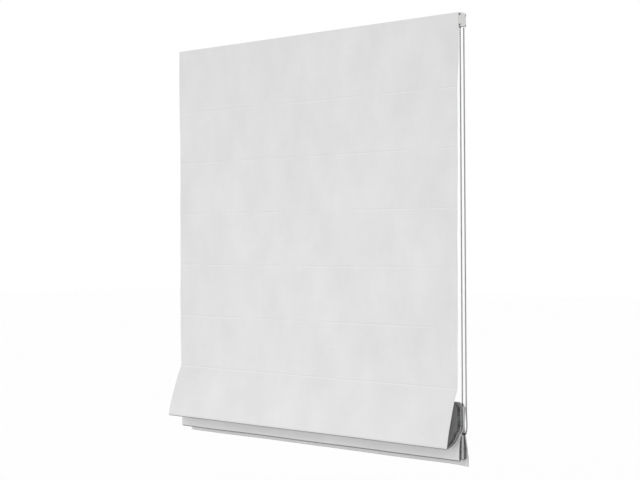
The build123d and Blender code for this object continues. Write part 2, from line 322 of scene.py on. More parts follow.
@dataclass(frozen=True)
class Coating(Finish):
    """The cloth's back: a grey dim-out coating that still shows the weave."""

    name: str = "cloth_back"
    dark: Point = (0.34, 0.342, 0.345)
    light: Point = (0.43, 0.432, 0.436)
    pitch: float = 0.7 * MM
    relief: float = 0.03 * MM

    def build(self, shader: Shader) -> None:
        """Blur the threads under a cloudy coat."""
        threads = shader.threads(self.pitch)
        clouds = shader.noise(shader.cut(), 38.0, 4.0, 0.62)
        grain = shader.noise(shader.cut(), 900.0, 2.0)
        share = clouds * 0.8 + grain * 0.35 - 0.1
        shader.set(Base_Color=shader.tint(share.ramp(0.0, 1.0), self.dark, self.light),
                   Roughness=clouds * 0.2 + 0.62, Specular_IOR_Level=0.3)
        shader.bump(threads * 0.3 + grain * 1.2 + clouds * 1.5, self.relief, 0.8)


@dataclass(frozen=True)
class Overcast(Finish):
    """The side hem's band on the back, overcast with grey thread in slanting, lumpy stitches."""

    name: str = "hem_band"
    dark: Point = (0.035, 0.036, 0.038)
    light: Point = (0.32, 0.322, 0.325)
    thread: Point = (0.66, 0.66, 0.66)
    half_width: float = 0.55
    seam: float = 7.5 * MM
    pitch: float = 4.4 * MM
    relief: float = 0.5 * MM

    def build(self, shader: Shader) -> None:
        """Slant the stitches and break them up with loose loops."""
        across, down, _ = shader.split(shader.cut())
        loops = shader.noise(shader.cut(), 170.0, 3.0, 0.7)
        clumps = shader.noise(shader.cut(), 48.0, 3.0, 0.6)
        slant = (down + across * 0.6 + loops * (1.6 * MM)) * (2 * math.pi / self.pitch)
        stitches = slant.sine() * 0.5 + 0.5
        share = stitches * 0.5 + (loops - 0.5) * 1.9 + (clumps - 0.5) * 1.6 + 0.16
        edge = abs(across) - self.half_width
        share = share + edge.ramp(self.seam, self.seam - 1.0 * MM) * 0.3
        band = shader.tint(share.ramp(0.0, 1.0), self.dark, self.light)
        seam = abs(edge - self.seam).ramp(0.5 * MM, 1.2 * MM)
        shader.set(Base_Color=shader.tint(seam, self.thread, band), Roughness=0.9, Specular_IOR_Level=0.2)
        shader.bump(stitches + loops * 1.2 + clumps, self.relief, 0.9)


@dataclass(frozen=True)
class Thread(Finish):
    """Fuzzy white thread ends and stitches."""

    name: str = "thread"
    dark: Point = (0.60, 0.60, 0.59)
    light: Point = (0.80, 0.80, 0.79)

    def build(self, shader: Shader) -> None:
        """Add fine twist lines and fuzz."""
        twist = shader.noise(shader.place(), 2600.0, 3.0)
        shader.set(Base_Color=shader.tint(twist.ramp(0.25, 0.75), self.dark, self.light), Roughness=0.9,
                   Specular_IOR_Level=0.2)
        shader.bump(twist, 0.06 * MM, 0.7)


@dataclass(frozen=True)
class Moulded(Finish):
    """Moulded plastic with a spark-eroded texture and faint flow marks."""

    name: str = "moulded_white"
    dark: Point = (0.60, 0.60, 0.59)
    light: Point = (0.66, 0.66, 0.65)
    rough: float = 0.46
    grain: float = 2200.0
    relief: float = 0.03 * MM

    def build(self, shader: Shader) -> None:
        """Add grain, flow marks and an uneven gloss."""
        grain = shader.noise(shader.place(), self.grain, 2.0, 0.6)
        flow = shader.noise(shader.place((1.0, 0.35, 0.35)), 60.0, 4.0, 0.6)
        shader.set(Base_Color=shader.tint((flow * 0.8 + grain * 0.3 - 0.05).ramp(0.1, 0.9), self.dark, self.light),
                   Roughness=(flow - 0.5) * 0.18 + self.rough, Specular_IOR_Level=0.42)
        shader.bump(grain + flow * 0.6, self.relief, 0.7)


@dataclass(frozen=True)
class Metal(Finish):
    """A bare or plated metal with drawn lines along one axis."""

    name: str = "metal"
    dark: Point = (0.50, 0.50, 0.51)
    light: Point = (0.66, 0.66, 0.67)
    rough: float = 0.32
    rim: Point = (1.0, 1.0, 1.0)
    lines: Point = (1.0, 60.0, 60.0)
    scale: float = 40.0
    relief: float = 0.015 * MM

    def build(self, shader: Shader) -> None:
        """Stretch noise into drawn lines, with cloudy wear over them."""
        lines = shader.noise(shader.place(self.lines), self.scale, 4.0, 0.6)
        clouds = shader.noise(shader.place(), 35.0, 4.0, 0.6)
        shader.set(Base_Color=shader.tint((lines * 0.6 + clouds * 0.5).ramp(0.3, 0.8), self.dark, self.light),
                   Metallic=1.0, Specular_Tint=(*self.rim, 1.0),
                   Roughness=clouds * 0.14 + lines * 0.1 + (self.rough - 0.12))
        shader.bump(lines, self.relief, 0.6)


@dataclass(frozen=True)
class GlassFibre(Finish):
    """A pultruded rod: pale resin over fibres that run along it."""

    name: str = "glass_fibre"
    dark: Point = (0.50, 0.51, 0.44)
    light: Point = (0.68, 0.69, 0.62)

    def build(self, shader: Shader) -> None:
        """Draw fibres along X under a satin resin."""
        fibres = shader.noise(shader.place((4.0, 1500.0, 1500.0)), 1.0, 4.0, 0.65)
        shader.set(Base_Color=shader.tint(fibres.ramp(0.3, 0.7), self.dark, self.light),
                   Roughness=fibres * 0.2 + 0.3, Coat_Weight=0.25, Coat_Roughness=0.25)
        shader.bump(fibres, 0.02 * MM, 0.6)


@dataclass(frozen=True)
class Braid(Finish):
    """Braided polyester cord: crossed diagonal strands."""

    name: str = "braided_cord"
    dark: Point = (0.52, 0.52, 0.50)
    light: Point = (0.78, 0.78, 0.76)
    pitch: float = 1.6 * MM

    def build(self, shader: Shader) -> None:
        """Cross two diagonal waves."""
        x, y, z = shader.split(shader.place())
        turn = 2 * math.pi / self.pitch
        strands = ((z + x + y) * turn).sine() * ((z - x - y) * turn).sine() * 0.5 + 0.5
        fuzz = shader.noise(shader.place(), 3000.0, 2.0)
        shader.set(Base_Color=shader.tint((strands * 0.7 + fuzz * 0.4 - 0.1).ramp(0.0, 1.0), self.dark, self.light),
                   Roughness=0.8, Specular_IOR_Level=0.25)
        shader.bump(strands + fuzz * 0.4, 0.12 * MM, 0.8)


@dataclass(frozen=True)
class HookTape(Finish):
    """Woven tape covered in fine plastic hooks."""

    name: str = "hook_tape_pile"
    dark: Point = (0.42, 0.42, 0.42)
    light: Point = (0.76, 0.76, 0.75)

    def build(self, shader: Shader) -> None:
        """Stand rows of small hooks on a darker ground."""
        hooks = shader.cells(shader.place(), 900.0)
        shader.set(Base_Color=shader.tint(hooks.ramp(0.7, 0.1), self.dark, self.light), Roughness=0.75,
                   Specular_IOR_Level=0.3)
        shader.bump(1.0 - hooks, 0.3 * MM, 0.8)


@dataclass(frozen=True)
class Paint(Finish):
    """Painted flat bar."""

    name: str = "bar_paint"
    dark: Point = (0.60, 0.60, 0.60)
    light: Point = (0.70, 0.70, 0.70)

    def build(self, shader: Shader) -> None:
        """Add orange peel and faint scuffs along the bar."""
        peel = shader.noise(shader.place(), 500.0, 2.0)
        scuffs = shader.noise(shader.place((3.0, 90.0, 90.0)), 10.0, 5.0, 0.7)
        shader.set(Base_Color=shader.tint(scuffs.ramp(0.25, 0.75), self.dark, self.light),
                   Roughness=scuffs * 0.25 + 0.3)
        shader.bump(peel + scuffs * 0.4, 0.04 * MM, 0.5)


@dataclass(frozen=True)
class Studio(Finish):
    """A plain pale floor that fades to white away from the blind."""

    name: str = "studio"
    near: Point = (0.66, 0.66, 0.66)
    far: Point = (0.99, 0.99, 0.99)
    fade: Pair = (1.5, 4.0)

    def build(self, shader: Shader) -> None:
        """Fade with the distance from the middle."""
        x, y, _ = shader.split(shader.place())
        away = (x * x + y * y) ** 0.5
        shader.set(Base_Color=shader.tint(away.ramp(*self.fade), self.near, self.far), Roughness=0.95,
                   Specular_IOR_Level=0.1)


FACE = Weave()
BACK = Coating()
BAND = Overcast()
THREAD = Thread()
WHITE = Moulded()
CLEAR = Moulded(name="natural_nylon", dark=(0.62, 0.62, 0.58), light=(0.74, 0.74, 0.70), rough=0.34)
# Near-black latch colour: painted shade for the slots in the control unit's cover.
SLOT_SHADE = Moulded(name="latch_slot_shade", dark=(0.018, 0.018, 0.018), light=(0.035, 0.035, 0.035), rough=0.6)
STEEL = Metal(name="zinc_plate", dark=(0.42, 0.43, 0.44), light=(0.62, 0.62, 0.62), rough=0.38)
RAIL = Metal(name="mill_aluminium", dark=(0.62, 0.63, 0.64), light=(0.78, 0.78, 0.79), rough=0.36)
NICKEL = Metal(
    name="nickel_beads", dark=(0.005, 0.005, 0.0053), light=(0.018, 0.018, 0.019), rough=0.3,
    rim=(0.09, 0.09, 0.09), scale=90.0,
)
ROD = GlassFibre()
CORD = Braid()
POCKET = Braid(name="pocket_tape", dark=(0.30, 0.30, 0.31), light=(0.46, 0.46, 0.47), pitch=0.9 * MM)
TAPE = HookTape()
PAINT = Paint()


# ---------------------------------------------------------------- mesh helpers
def make_piece(
    name: str,
    points: np.ndarray,
    faces: list[tuple[int, ...]],
    finishes: Iterable[Finish],
    slots: Optional[np.ndarray] = None,
    smooth: bool = True,
) -> bpy.types.Object:
    """Make a mesh object.

    Args:
        name: the piece's name.
        points: its vertices, in metres.
        faces: vertex numbers of each face.
        finishes: its finishes, in slot order.
        slots: the slot of each face, or None for the first.
        smooth: whether the faces are smooth shaded.

    Returns:
        The linked object.
    """
    mesh = bpy.data.meshes.new(name)
    mesh.from_pydata([tuple(p) for p in points], [], faces)
    for finish in finishes:
        mesh.materials.append(finish.material())
    if slots is not None:
        mesh.polygons.foreach_set("material_index", slots.astype(np.int32))
    mesh.polygons.foreach_set("use_smooth", np.full(len(mesh.polygons), smooth))
    mesh.update()
    piece = bpy.data.objects.new(name, mesh)
    bpy.context.scene.collection.objects.link(piece)
    return piece


def settle(piece: bpy.types.Object, body: str, slot: str, *nodes: str) -> None:
    """Tie a piece to its body and hide the nodes that it replaces.

    Args:
        piece: the visible piece.
        body: the body that it rides.
        slot: not used.
        nodes: the nodes that it stands for.
    """
    if nodes:
        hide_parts(*nodes)
    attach(piece, body)


def rounded(corners: list[Point], step: float, turn_step: float) -> np.ndarray:
    """Join corners by straight runs and tangent arcs.

    Args:
        corners: each corner's two coordinates and its arc radius.
        step: the longest stretch between two points of a run.
        turn_step: the largest turn between two points of an arc, in degrees.

    Returns:
        Points along the line, one row each.
    """
    longest_share = 0.49
    spots = np.array([c[:2] for c in corners])
    made = [spots[0]]
    for before, spot, after, radius in zip(spots, spots[1:], spots[2:], (c[2] for c in corners[1:])):
        lengths = np.linalg.norm(spot - before), np.linalg.norm(after - spot)
        a = (spot - before) / lengths[0]
        b = (after - spot) / lengths[1]
        turn = math.acos(max(-1.0, min(1.0, float(a @ b))))
        reach = min(radius * math.tan(turn / 2), longest_share * min(lengths))
        side = 1.0 if a[0] * b[1] - a[1] * b[0] > 0 else -1.0
        start = spot - a * reach
        extend(made, start, step)
        centre = start + side * reach / math.tan(turn / 2) * np.array([-a[1], a[0]])
        x, y = start - centre
        count = max(1, math.ceil(math.degrees(turn) / turn_step))
        for t in (side * turn * k / count for k in range(1, count + 1)):
            made.append(centre + np.array([x * math.cos(t) - y * math.sin(t), x * math.sin(t) + y * math.cos(t)]))
    extend(made, spots[-1], step)
    return np.array(made)


def extend(made: list[np.ndarray], end: np.ndarray, step: float) -> None:
    """Add points in a straight line from the last point to an end.

    Args:
        made: the points so far.
        end: where the line stops.
        step: the longest stretch between two points.
    """
    start = made[-1]
    gap = float(np.linalg.norm(end - start))
    if gap > 1e-6:
        count = max(1, math.ceil(gap / step))
        made.extend(start + (end - start) * k / count for k in range(1, count + 1))


def along(points: np.ndarray) -> np.ndarray:
    """Return each point's distance along its line."""
    return np.concatenate([[0.0], np.cumsum(np.linalg.norm(np.diff(points, axis=0), axis=1))])


def spot_on(line: np.ndarray, distance: np.ndarray, at: float) -> np.ndarray:
    """Return the row of a line at a distance along it."""
    return np.array([np.interp(at, distance, line[:, k]) for k in range(3)])


def ease(share: float) -> float:
    """Return a smooth step that runs from 0 to 1 as the share does."""
    share = min(1.0, max(0.0, share))
    return share * share * (3.0 - 2.0 * share)


def circle(one: np.ndarray, two: np.ndarray, sides: int) -> np.ndarray:
    """Return directions round each pair of crossed axes, rows by sides by 3."""
    angles = np.arange(sides) * 2 * math.pi / sides
    return np.cos(angles)[None, :, None] * one[:, None, :] + np.sin(angles)[None, :, None] * two[:, None, :]


def tube_faces(rows: int, sides: int, flip: bool = False) -> list[tuple[int, ...]]:
    """Join equal rings into a tube with closed ends.

    Args:
        rows: how many rings there are.
        sides: how many points each has.
        flip: whether the rings run the other way round.

    Returns:
        The faces.
    """
    faces = []
    for i, j in product(range(rows - 1), range(sides)):
        a, b = i * sides + j, i * sides + (j + 1) % sides
        faces.append((a, b, b + sides, a + sides))
    faces.append(tuple(range(sides))[::-1])
    faces.append(tuple((rows - 1) * sides + j for j in range(sides)))
    return [face[::-1] for face in faces] if flip else faces


def tube_mesh(path: np.ndarray, radius: float, sides: int) -> Mesh:
    """Sweep a round section along a path.

    Args:
        path: points in metres.
        radius: the section's radius.
        sides: how many sides it has.

    Returns:
        The vertices and the faces, with both ends closed.
    """
    tangent = np.gradient(path, axis=0)
    tangent /= np.linalg.norm(tangent, axis=1)[:, None]
    guide = ALONG_X if abs(tangent[:, 0]).max() <= STEEP else ALONG_Y
    one = np.cross(tangent, guide)
    one /= np.linalg.norm(one, axis=1)[:, None]
    points = (path[:, None, :] + radius * circle(one, np.cross(tangent, one), sides)).reshape(-1, 3)
    return points, tube_faces(len(path), sides)


def coil_mesh(path: np.ndarray, y: float, z: float, radius: float, sides: int) -> Mesh:
    """Sweep a round section along a coil about a line parallel to X.

    Args:
        path: the coil's points.
        y: the line's place, front to back.
        z: the line's height.
        radius: the section's radius.
        sides: how many sides it has.

    Returns:
        The vertices and the faces, with both ends closed.
    """
    out = path - np.array([0.0, y, z])
    out[:, 0] = 0.0
    out /= np.linalg.norm(out, axis=1)[:, None]
    ring = circle(out, np.broadcast_to(ALONG_X, out.shape), sides)
    return (path[:, None, :] + radius * ring).reshape(-1, 3), tube_faces(len(path), sides, flip=True)


def turned(profile: list[Pair], centre: np.ndarray, axis: np.ndarray, sides: int) -> Mesh:
    """Turn a profile about an axis.

    Args:
        profile: (distance along the axis, radius) of each ring, first and last radius 0.
        centre: where distance 0 lies.
        axis: the axis's direction.
        sides: how many sides the piece has.

    Returns:
        The vertices and the faces.
    """
    axis = axis / np.linalg.norm(axis)
    one = np.cross(axis, ALONG_X if abs(axis[0]) < STEEP else ALONG_Y)
    one /= np.linalg.norm(one)
    ring = circle(one[None], np.cross(axis, one)[None], sides)[0]
    points = [centre + axis * profile[0][0]]
    for distance, radius in profile[1:-1]:
        points.extend(centre + axis * distance + radius * ring)
    points.append(centre + axis * profile[-1][0])
    rings = len(profile) - 2
    top = 1 + (rings - 1) * sides
    faces: list[tuple[int, ...]] = []
    for j in range(sides):
        k = (j + 1) % sides
        faces.append((0, 1 + k, 1 + j))
        for low in range(1, top, sides):
            faces.append((low + j, low + k, low + sides + k, low + sides + j))
        faces.append((top + j, top + k, len(points) - 1))
    return np.array(points), faces


class Heap:
    """Small meshes gathered into one piece."""

    def __init__(self) -> None:
        """Start empty."""
        self.points: list[np.ndarray] = []
        self.faces: list[tuple[int, ...]] = []
        self.count = 0

    def put(self, points: np.ndarray, faces: Iterable[tuple[int, ...]]) -> None:
        """Add one small mesh.

        Args:
            points: its vertices.
            faces: its faces, numbered from 0.
        """
        self.faces.extend(tuple(self.count + i for i in face) for face in faces)
        self.points.append(points)
        self.count += len(points)

    def piece(self, name: str, finish: Finish, smooth: bool = True) -> bpy.types.Object:
        """Make the gathered piece."""
        return make_piece(name, np.concatenate(self.points), self.faces, [finish], smooth=smooth)


# ---------------------------------------------------------------- cloth
class Side(Enum):
    """The parts of the cloth that have their own finish."""

    FACE = 0
    BACK = 1
    RIM = 2
    HEM = 3


@dataclass
class Drape:
    """The blind's main sizes and the gentle unevenness that all its cloth shares, in millimetres."""

    width: float = 1100.0
    top: float = -1.8
    front: float = -20.6
    flat_drop: float = 1048.0
    pitch: float = 336.5
    first: float = 375.0
    flat_battens: int = 3
    thick: float = 0.6
    wing_reach: float = 9.3
    wing_depth: Pair = (12.0, 18.0)
    wing_top: Pair = (-45.0, 11.0)
    wing_foot: Pair = (-136.0, 26.0)
    hang_below: Pair = (66.0, 90.0)
    calm_reach: float = 38.0

    @property
    def crease(self) -> float:
        """The height of the crease over the big fold."""
        return self.top - self.flat_drop

    def edge(self, side: int, y: float, z: float) -> float:
        """Return how far the cloth's side edge stands outside its nominal place.

        Args:
            side: -1 for the left edge, 1 for the right.
            y: the place from front to back.
            z: the height.

        Returns:
            Millimetres outwards.
        """
        down = self.top - z
        ripple = 0.5 * math.sin(down / 61.0 + side) + 0.35 * math.sin(down / 23.0 + 2 * side)
        if side > 0:
            flare = 4.0 / (1.0 + math.exp((down - 150.0) / 22.0))
            return flare + 0.2 + self.wing(y - self.front, z - self.crease) + ripple * min(1.0, down / 60.0)
        flare = 5.5 / (1.0 + math.exp((down - 220.0) / 60.0))
        draw = -3.5 * math.exp(-(((down - self.flat_drop) / 150.0) ** 2))
        return flare + draw + ripple * min(1.0, down / 60.0)

    def wing(self, depth: float, height: float) -> float:
        """Return how far the sheet behind the big fold spreads past the chain at the right edge.

        Args:
            depth: the distance behind the cloth's front plane.
            height: the height above the crease.

        Returns:
            Millimetres outwards.
        """
        if not self.wing_depth[0] <= depth <= self.wing_depth[1]:
            return 0.0
        start = ease((self.wing_top[0] - height) / self.wing_top[1])
        return self.wing_reach * start * ease((height - self.wing_foot[0]) / self.wing_foot[1])

    def battens(self) -> list[float]:
        """Return how far down the flat cloth its battens lie."""
        return [self.first + self.pitch * number for number in range(self.flat_battens)]

    def sway(self, x: float, y: float, z: float) -> tuple[float, float]:
        """Return how far the cloth near a point strays from its plan, so that layers stay apart.

        Args:
            x: the place across.
            y: the place from front to back.
            z: the height.

        Returns:
            Millimetres along Y and Z.
        """
        down = self.top - z
        below = max(0.0, self.crease - z)
        hang = ease((below - self.hang_below[0]) / self.hang_below[1])
        wave = noise.noise(Vector((x / 260.0, z / 420.0, 3.1)))
        small = noise.noise(Vector((x / 85.0, z / 140.0, 7.7)))
        ends = min(1.0, (self.width / 2 - abs(x)) / 60.0)
        calm = ease(down / self.flat_drop * 7.0 - 0.3) * (below == 0.0)
        for place in self.battens():
            calm *= 1.0 - math.exp(-(((down - place) / self.calm_reach) ** 2))
        dy = calm * (2.2 * wave + 0.4 * small) * (0.35 + 0.65 * ends) + hang * (3.0 * wave + 0.8 * small)
        dz = hang * (1.6 * noise.noise(Vector((x / 300.0, y / 90.0, 5.0))) - 1.2 * x / self.width)
        corner = max(0.0, (x - 490.0) / 60.0) ** 2 * max(0.0, min(1.0, (below - 205.0) / 16.0))
        return dy, dz - 3.0 * corner


class Cloth:
    """A sheet laid over a line in the YZ plane, with turned side hems, in millimetres."""

    hem = 18.0
    hem_gap = 1.15
    hem_turn = [(0.35, 0.16), (0.5, 0.5), (0.35, 0.85)]
    hem_columns = [0.0, -4.0, -9.0, -14.0, -18.0]
    pocket_reach = 26.0
    stitch_inset = 15.0
    stitch_pitch = 3.2
    stitch_half = 0.36
    stitch_sides = 5
    stitch_profile = [(-0.5, 0.0), (-0.4, 0.13), (0.0, 0.24), (0.4, 0.13), (0.5, 0.0)]

    def __init__(self, drape: Drape, line: np.ndarray, start: float, shape: Callable[[float, float], float]) -> None:
        """Set out the sheet.

        Args:
            drape: the shared sizes and sway.
            line: (y, z) points from top to bottom.
            start: the flat cloth's length above the first point.
            shape: the crease depth at (x, distance down the cloth), backwards.
        """
        self.drape = drape
        self.line = line
        self.down = along(line) + start
        self.shape = shape
        self.half = drape.width / 2

    def columns(self, pitch: float) -> list[Pair]:
        """Return the columns, hems included.

        Args:
            pitch: the distance between two columns.

        Returns:
            (x, distance behind the sheet) of each, from left to right.
        """
        count = round(2 * self.half / pitch)
        main = [(-self.half + 2 * self.half * i / count, 0.0) for i in range(count + 1)]
        right = [(self.half + dx, share * self.hem_gap) for dx, share in self.hem_turn]
        right += [(self.half + dx, self.hem_gap) for dx in self.hem_columns]
        return [(-x, back) for x, back in reversed(right)] + main + right

    def place(self, x: float, y: float, z: float, out: float) -> Point:
        """Return where a planned point of the cloth hangs.

        Args:
            x: the place across, which may lie in a turned hem.
            y: the place from front to back.
            z: the height.
            out: how far the edge on that side stands outside its nominal place.

        Returns:
            The point.
        """
        share = max(0.0, 2 * abs(x) / self.half - 1.0)
        dy, dz = self.drape.sway(max(-self.half, min(self.half, x)), y, z)
        return x + (1 if x > 0 else -1) * out * share * share, y + dy, z + dz

    @staticmethod
    def outward(points: np.ndarray) -> np.ndarray:
        """Return the direction out of the face side at each point of rows down the cloth."""
        normal = -np.cross(ALONG_X, np.gradient(points, axis=0))
        return normal / np.maximum(np.linalg.norm(normal, axis=-1), 1e-9)[..., None]

    def middle(self, pitch: float) -> tuple[np.ndarray, np.ndarray]:
        """Lay out the sheet's middle.

        Args:
            pitch: the distance between columns.

        Returns:
            The points and their coordinates on the flat cloth, rows by columns.
        """
        columns = self.columns(pitch)
        points = np.zeros((len(self.line), len(columns), 3))
        flat = np.zeros((len(self.line), len(columns), 2))
        for i, (y, z) in enumerate(self.line):
            out = {side: self.drape.edge(side, y, z) for side in (-1, 1)}
            for j, (x, back) in enumerate(columns):
                side = 1 if x > 0 else -1
                points[i, j] = self.place(x, y, z, out[side])
                reach = 2 * self.half - abs(x) if back >= self.hem_gap else abs(x)
                flat[i, j] = side * reach, -self.down[i]
        normals = self.outward(points)
        inner = [j for j, (_, back) in enumerate(columns) if back == 0.0]
        normals[:, :inner[0]] = normals[:, inner[0]][:, None]
        normals[:, inner[-1] + 1:] = normals[:, inner[-1]][:, None]
        for i, down in enumerate(self.down):
            for j, (x, back) in enumerate(columns):
                pucker = 0.0
                if back > 0:
                    lump = noise.noise(Vector((down / 18.0, x / 9.0, 1.0)))
                    pucker = 0.22 * math.sin(down / 2.9 + x) * lump
                points[i, j] -= normals[i, j] * (back + self.shape(x, down) + pucker)
        return points, flat

    def build(self, name: str, pitch: float) -> bpy.types.Object:
        """Make the sheet with a face side, a back side and a rim.

        Args:
            name: the piece's name.
            pitch: the distance between columns.

        Returns:
            The piece, in metres.
        """
        points, flat = self.middle(pitch)
        rows, columns = points.shape[:2]
        normal = -np.cross(np.gradient(points, axis=1), np.gradient(points, axis=0))
        normal /= np.maximum(np.linalg.norm(normal, axis=2), 1e-9)[:, :, None]
        lift = normal * self.drape.thick / 2
        layers = np.concatenate([(points + lift).reshape(-1, 3), (points - lift).reshape(-1, 3)])
        size = rows * columns
        band = len(self.hem_columns)
        faces: list[tuple[int, ...]] = []
        slots: list[int] = []
        for i, j in product(range(rows - 1), range(columns - 1)):
            k = i * columns + j
            face = (k, k + columns, k + columns + 1, k + 1)
            faces += [face, tuple(size + corner for corner in face[::-1])]
            hemmed = j < band - 1 or j >= columns - band
            slots += [Side.HEM.value if hemmed else Side.FACE.value, Side.BACK.value]
        loop = list(range(columns)) + [i * columns + columns - 1 for i in range(1, rows)]
        loop += [(rows - 1) * columns + j for j in range(columns - 2, -1, -1)]
        loop += [i * columns for i in range(rows - 2, 0, -1)]
        rim = list(zip(loop, loop[1:] + loop[:1]))
        faces += [(a, b, size + b, size + a) for a, b in rim]
        slots += [Side.RIM.value] * len(rim)
        piece = make_piece(name, layers * MM, faces, [FACE, BACK, THREAD, BAND], np.array(slots))
        self.finish_mesh(piece.data, np.concatenate([flat.reshape(-1, 2)] * 2) * MM, rim, size)
        return piece

    @staticmethod
    def finish_mesh(mesh: bpy.types.Mesh, cut: np.ndarray, rim: list[tuple[int, int]], size: int) -> None:
        """Add the flat cloth's coordinates and sharpen the rim.

        Args:
            mesh: the sheet's mesh.
            cut: each vertex's place on the flat cloth.
            rim: the face layer's outer edges.
            size: how many vertices each layer has.
        """
        corner = np.zeros(len(mesh.loops), np.int32)
        mesh.loops.foreach_get("vertex_index", corner)
        mesh.uv_layers.new(name="cut").data.foreach_set("uv", cut[corner].reshape(-1))
        edges = np.zeros(len(mesh.edges) * 2, np.int32)
        mesh.edges.foreach_get("vertices", edges)
        ring = {(min(pair) + layer, max(pair) + layer) for pair in rim for layer in (0, size)}
        sharp = np.array([tuple(edge) in ring for edge in np.sort(edges.reshape(-1, 2), axis=1)])
        mesh.attributes.new("sharp_edge", "BOOLEAN", "EDGE").data.foreach_set("value", sharp)
        mesh.update()

    def stitches(self, name: str) -> bpy.types.Object:
        """Sew a line of stitches along both side hems, on both sides of the cloth.

        Args:
            name: the piece's name.

        Returns:
            The piece, in metres.
        """
        heap = Heap()
        pitch = self.stitch_pitch
        for side in (-1, 1):
            points, normals = self.rail(side * (self.half - self.stitch_inset))
            distance = along(points)
            for at in np.arange(pitch, distance[-1] - pitch, pitch):
                if self.at_pocket(float(np.interp(at, distance, self.down))):
                    continue
                ends = [(spot_on(points, distance, spot), spot_on(normals, distance, spot))
                        for spot in (at - pitch * self.stitch_half, at + pitch * self.stitch_half)]
                for lift in (self.drape.thick / 2, -self.hem_gap - self.drape.thick / 2):
                    a, b = (point + normal * lift for point, normal in ends)
                    length = float(np.linalg.norm(b - a))
                    profile = [(share * length, radius) for share, radius in self.stitch_profile]
                    heap.put(*turned(profile, (a + b) / 2, b - a, self.stitch_sides))
        piece = heap.piece(name, THREAD)
        piece.data.transform(Matrix.Scale(MM, 4))
        return piece

    def at_pocket(self, down: float) -> bool:
        """Tell whether a place down the cloth is under one of the flat cloth's batten pockets."""
        return any(abs(down - place) < self.pocket_reach for place in self.drape.battens())

    def rail(self, x: float) -> tuple[np.ndarray, np.ndarray]:
        """Return the line down the cloth at one place across.

        Args:
            x: the place across.

        Returns:
            Its points and their directions out of the face side.
        """
        side = 1 if x > 0 else -1
        points = np.array([self.place(x, y, z, self.drape.edge(side, y, z)) for y, z in self.line])
        normal = self.outward(points)
        dents = np.array([self.shape(x, down) for down in self.down])
        return points - normal * dents[:, None], normal


def no_crease(x: float, down: float) -> float:
    """Return no dent."""
    return 0.0


@dataclass
class Creases:
    """The pressed folds across the cloth: one at each batten and one halfway between."""

    drape: Drape
    depth: float = 0.75
    spread: float = 2.2
    reach: float = 14.0
    seam: float = 8.0
    seam_reach: float = 4.0
    seam_depth: float = 0.35
    seam_spread: float = 1.1

    def places(self) -> list[Pair]:
        """Return (distance down the cloth, strength) of each crease in the flat part."""
        first, pitch = self.drape.first, self.drape.pitch
        return [(first - pitch / 2, 0.6), (first, 1.0), (first + pitch / 2, 0.7), (first + pitch, 1.0),
                (first + pitch * 1.5, 0.8)]

    def __call__(self, x: float, down: float) -> float:
        """Return the dent's depth at a point of the flat cloth.

        Args:
            x: the place across.
            down: the distance down the cloth.

        Returns:
            The depth, with the row of stitches at the tape.
        """
        total = 0.0
        for number, (place, strength) in enumerate(self.places()):
            wander = 0.9 * noise.noise(Vector((x / 160.0, number * 3.7, 0.5)))
            gap = abs(down - place - wander)
            if gap > self.reach:
                continue
            broken = 0.62 + 0.9 * noise.noise(Vector((x / 55.0, number * 9.1, 2.0)))
            total += strength * self.depth * max(0.15, broken) * math.exp(-gap / self.spread)
        stitch = abs(down - self.seam)
        if stitch < self.seam_reach:
            total += self.seam_depth * math.exp(-((stitch / self.seam_spread) ** 2))
        return total


